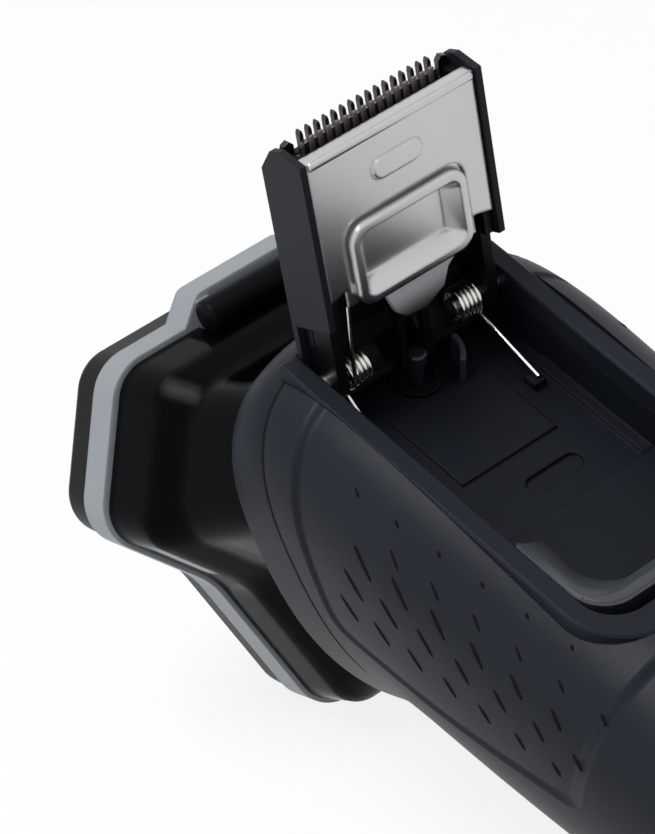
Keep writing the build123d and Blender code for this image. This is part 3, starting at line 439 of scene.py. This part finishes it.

# %% [markdown]
# ## The pressed marks of the grip
# Both flanks of the grip carry rows of short slanting cuts. On the real shell they are moulded in, so a
# finger feels them as notches. Each is made here as a slim lens that lies in the surface: a ball, stretched
# one way and flattened the other, and laid along the shell where a ray from outside meets it. The lenses
# wear the near-black rubber finish, which is painted shade for the dark inside of the notches.

# %% Where the shell is
def on_shell(shell, along, up, side):
    """The point and outward direction of a node's flank, seen from one side, in the scene's metres."""
    start = deck_point(along, side * 60, up)
    return shell.ray_cast(start, Vector((0, -side, 0)))[1:3]


def mark(shape, spot, away, run, length, width, depth):
    """Adds one lens-shaped mark to a bmesh."""
    made = bmesh.ops.create_uvsphere(shape, u_segments=12, v_segments=6, radius=0.5)
    across = away.cross(run).normalized()
    ahead = across.cross(away).normalized()
    turn = Matrix((ahead, across, away)).transposed().to_4x4()
    size = Matrix.Diagonal((length, width, depth, 1))
    bmesh.ops.transform(shape, matrix=Matrix.Translation(spot) @ turn @ size, verts=made["verts"])


def add_piece(name, shape, material, body):
    """Turns a bmesh into a smooth piece of the scene that rides on a body."""
    bmesh.ops.recalc_face_normals(shape, faces=shape.faces)
    for face in shape.faces:
        face.smooth = True
    mesh = bpy.data.meshes.new(name)
    shape.to_mesh(mesh)
    shape.free()
    mesh.materials.append(material)
    piece = bpy.data.objects.new(name, mesh)
    bpy.context.scene.collection.objects.link(piece)
    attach(piece, body)
    print(name, len(mesh.polygons), "faces")
    return piece


print("helpers ready")

# %% Rows of marks
ROWS = (
    (15.8, -2.8, 6.7, 6, 1.3, 0.42, 0.00),
    (24.5, -5.9, 6.6, 6, 2.8, 0.42, 0.02),
    (20.4, -9.1, 6.35, 6, 4.9, 0.66, 0.0),
    (19.4, -13.4, 6.2, 7, 4.7, 0.66, 0.22),
    (18.4, -18.5, 5.9, 7, 4.1, 0.62, 0.48),
)
for side, name in ((-1, "grip_marks_left"), (1, "grip_marks_right")):
    shape = bmesh.new()
    for start, level, pitch, number, length, width, climb in ROWS:
        for step in range(number):
            along = start + pitch * step
            spot, away = on_shell(nodes["grip_shell"], along, level + climb * step, side)
            run = deck_direction(0.78, 0, -0.62)
            fade = 1.0 - 0.08 * step
            mark(shape, spot, away, run, length * fade / 1000, width / 1000, 0.3 / 1000)
    # The marks wear the near-black rubber finish as painted shade inside the notches.
    add_piece(name, shape, rubber, "handle")

# %% [markdown]
# ## The dark line between the shells
# The grip meets the collar at the seam, which shows as a fine dark line. A thin slice is cut out of a copy
# of the grip's shell and lifted by a few hundredths of a millimetre.

# %% Line along the seam
NECK_SLOPE = radians(30)
neck_middle = deck_point(8.0, 0, -21.0)
neck_out = deck_direction(-cos(NECK_SLOPE), 0, -sin(NECK_SLOPE))
shape = bmesh.new()
shape.from_mesh(nodes["grip_shell"].data)
bmesh.ops.remove_doubles(shape, verts=shape.verts, dist=0.000001)
for depth, side in ((0.00001, "clear_outer"), (0.0004, "clear_inner")):
    bmesh.ops.bisect_plane(
        shape,
        geom=shape.verts[:] + shape.edges[:] + shape.faces[:],
        plane_co=neck_middle - neck_out * depth,
        plane_no=neck_out,
        **{side: True},
    )
shape.normal_update()
for vert in shape.verts:
    vert.co = vert.co + vert.normal * 0.00004
add_piece("seam_line", shape, rubber, "handle")

# %% [markdown]
# ## The slide's sloping face
# The release slide lines the heel end of the bay with a broad sparkling slope, from the rim down to the
# bay's shelf. It is an open strip that follows the bay's rounded end: the edge of one rounded sheet is
# joined by a bridge to the edge of a smaller, lower one, and the strip is then given its thickness.

# %% Rounded end
def rounded_end(shape, start, end, half, radius, up):
    """The edges of an end of the bay at one level, open towards the head, as one chain of edges."""
    places = ((start, -half), (end, -half), (end, half), (start, half))
    verts = [shape.verts.new(deck_point(x, y, up)) for x, y in places]
    for pair in zip(verts, verts[1:]):
        shape.edges.new(pair)
    bmesh.ops.bevel(
        shape, geom=verts[1:3], offset=radius / 1000, segments=10, profile=0.5, affect="VERTICES", material=-1
    )
    shape.edges.ensure_lookup_table()
    level = deck_point(0, 0, up)
    return [edge for edge in shape.edges if all(abs(DECK_UP.dot(v.co - level)) < 1e-5 for v in edge.verts)]


shape = bmesh.new()
upper = rounded_end(shape, 35.2, 49.3, 13.5, 5.0, -0.75)
middle_edges = rounded_end(shape, 34.9, 47.2, 11.6, 5.4, -2.5)
lower = rounded_end(shape, 34.6, 45.4, 9.2, 5.2, -4.0)
bmesh.ops.bridge_loops(shape, edges=upper + middle_edges)
bmesh.ops.bridge_loops(shape, edges=middle_edges + lower)
bmesh.ops.recalc_face_normals(shape, faces=shape.faces)
slope = add_piece("slide_slope", shape, slide_plastic, "release_slide")
wall = slope.modifiers.new("wall", "SOLIDIFY")
wall.thickness = 0.0006
wall.offset = 0.0

# %% [markdown]
# ## The left spring's upper leg
# The spring pushes the trimmer up with a straight leg that runs from the coil up the trimmer's inside edge.
# It is a fine wire: a curve with a round section, a little bent at its foot where it leaves the coil.

# %% Spring leg
RECLINE = radians(12)
TRIMMER_UP = deck_direction(-sin(RECLINE), 0, cos(RECLINE))
TRIMMER_AHEAD = deck_direction(cos(RECLINE), 0, sin(RECLINE))


def trimmer_point(across, up, ahead):
    """A point given in millimetres on the raised trimmer's axes, from its hinge."""
    return deck_point(0, across, -2.8) + (TRIMMER_UP * up + TRIMMER_AHEAD * ahead) / 1000


wire = bpy.data.curves.new("left_spring_leg", "CURVE")
wire.dimensions = "3D"
wire.bevel_depth = 0.0003
wire.bevel_resolution = 4
wire.use_fill_caps = True
line = wire.splines.new("POLY")
route = ((-9.9, 0.4, 2.2), (-9.8, 2.5, 2.25), (-9.6, 6.0, 2.2), (-9.3, 9.5, 2.2), (-9.0, 13.0, 2.2))
line.points.add(len(route) - 1)
for point, place in zip(line.points, route):
    point.co = (*trimmer_point(*place), 1)
leg = bpy.data.objects.new("left_spring_leg", wire)
bpy.context.scene.collection.objects.link(leg)
wire.materials.append(spring_steel)
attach(leg, "trimmer")
print("spring leg", len(route), "points")

# %% [markdown]
# ## The trimmer's sheet metal
# The tray under the plate ends in a matt, less metallic tongue, painted near-black towards the hinge as a
# painted dark reflection of the bay below it. The plate's upper edge is rolled over, so a slim rounded bar
# closes it. Behind it the moving blade shows its own row of short teeth, which stand between the teeth of
# the comb and slide with the blade.

# %% Tongue of the tray, with a painted dark reflection
steel_with_painted_reflection = steel.copy()
steel_with_painted_reflection.name = "steel_with_painted_reflection"
tree = steel_with_painted_reflection.node_tree
surface = tree.nodes["Principled BSDF"]
height = tree.nodes.new("ShaderNodeVectorMath")
height.operation = "DOT_PRODUCT"
height.inputs[1].default_value = TRIMMER_UP
tree.links.new(tree.nodes["Texture Coordinate"].outputs["Object"], height.inputs[0])
hinge_height = trimmer_point(0, 0, 0).dot(TRIMMER_UP)


def by_height(low, high, start, end):
    """A value that goes from start to end between two heights in millimetres above the hinge."""
    ramp = tree.nodes.new("ShaderNodeMapRange")
    ramp.interpolation_type = "SMOOTHSTEP"
    ramp.inputs["From Min"].default_value = hinge_height + low / 1000
    ramp.inputs["From Max"].default_value = hinge_height + high / 1000
    ramp.inputs["To Min"].default_value = start
    ramp.inputs["To Max"].default_value = end
    tree.links.new(height.outputs["Value"], ramp.inputs["Value"])
    return ramp.outputs["Result"]


# Painted dark reflection: the tongue's colour goes near-black towards the hinge, standing for the dark bay it
# mirrors.
painted_dark_reflection = tree.nodes.new("ShaderNodeMix")
painted_dark_reflection.data_type = "RGBA"
painted_dark_reflection.inputs[6].default_value = (0.02, 0.021, 0.023, 1)
painted_dark_reflection.inputs[7].default_value = (0.62, 0.63, 0.64, 1)
tree.links.new(by_height(5.6, 9.6, 0.0, 1.0), painted_dark_reflection.inputs[0])
whole = tree.nodes.new("ShaderNodeMix")
whole.data_type = "RGBA"
tree.links.new(by_height(10.4, 11.0, 0.0, 1.0), whole.inputs[0])
tree.links.new(painted_dark_reflection.outputs[2], whole.inputs[6])
tree.links.new(surface.inputs["Base Color"].links[0].from_socket, whole.inputs[7])
tree.links.new(whole.outputs[2], surface.inputs["Base Color"])
tree.links.new(by_height(10.4, 11.0, 0.1, 1.0), surface.inputs["Metallic"])
tree.links.new(by_height(10.4, 11.0, 0.6, 0.25), surface.inputs["Roughness"])
nodes["plate_tub"].data.materials[0] = steel_with_painted_reflection
print("tongue blasted")

# %% Rolled edge of the plate
def trimmer_frame_matrix(across, up, ahead):
    """Places a shape drawn on the trimmer's own axes: x across, y up and z ahead."""
    turn = Matrix((Vector((0, 1, 0)), TRIMMER_UP, TRIMMER_AHEAD)).transposed().to_4x4()
    return Matrix.Translation(trimmer_point(across, up, ahead)) @ turn


shape = bmesh.new()
bmesh.ops.create_cone(shape, cap_ends=True, segments=32, radius1=0.0005, radius2=0.0005, depth=0.0246)
rims = [edge for edge in shape.edges if len(edge.link_faces) == 2 and edge.calc_face_angle() > 1.0]
bmesh.ops.bevel(shape, geom=rims, offset=0.0002, segments=3, profile=0.5, affect="EDGES", material=-1)
flatten = Matrix.Diagonal((1, 1.2, 0.8, 1)) @ Matrix.Rotation(pi / 2, 4, "Y")
bmesh.ops.transform(shape, matrix=trimmer_frame_matrix(0, 32.75, 4.0) @ flatten, verts=shape.verts)
add_piece("plate_roll", shape, steel, "trimmer")

# %% Teeth of the moving blade
TOOTH_PITCH = 1.28
TOOTH_SIZE = Matrix.Diagonal((0.00078, 0.0025, 0.00035, 1))
middle_height = trimmer_point(0, 33.0, 0).dot(TRIMMER_UP)
shape = bmesh.new()
for step in range(15):
    tooth = bmesh.ops.create_cube(shape, size=1.0)
    across = (step - 7) * TOOTH_PITCH
    place = trimmer_frame_matrix(across, 33.0, 0.78)
    bmesh.ops.transform(shape, matrix=place @ TOOTH_SIZE, verts=tooth["verts"])
    for vert in tooth["verts"]:
        if vert.co.dot(TRIMMER_UP) > middle_height:
            vert.co.y += (across / 1000 - vert.co.y) * 0.25
bmesh.ops.bevel(
    shape, geom=shape.edges[:], offset=0.00007, segments=2, profile=0.5, affect="EDGES", material=-1
)
add_piece("blade_teeth", shape, tooth_steel, "cutting_blade")

# %% [markdown]
# ## The hinge's sleeve
# The head folds open about a hinge on its back edge. A dark sleeve with rounded ends covers the barrel and
# the two lugs. It is a round bar turned about the hinge's own axis, so it stays clear when the head swings.

# %% Hinge sleeve
barrel_middle = deck_point(-28.7, 0, -16.44)
shape = bmesh.new()
bmesh.ops.create_cone(shape, cap_ends=True, segments=48, radius1=0.00245, radius2=0.00245, depth=0.0184)
rims = [edge for edge in shape.edges if len(edge.link_faces) == 2 and edge.calc_face_angle() > 1.0]
bmesh.ops.bevel(shape, geom=rims, offset=0.0006, segments=4, profile=0.5, affect="EDGES", material=-1)
lie_across = Matrix.Translation(barrel_middle) @ Matrix.Rotation(pi / 2, 4, "X")
bmesh.ops.transform(shape, matrix=lie_across, verts=shape.verts)
add_piece("hinge_sleeve", shape, cap_plastic, "head_lid")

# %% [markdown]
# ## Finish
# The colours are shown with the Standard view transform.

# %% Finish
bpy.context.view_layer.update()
view = bpy.context.scene.view_settings
view.view_transform = "Standard"
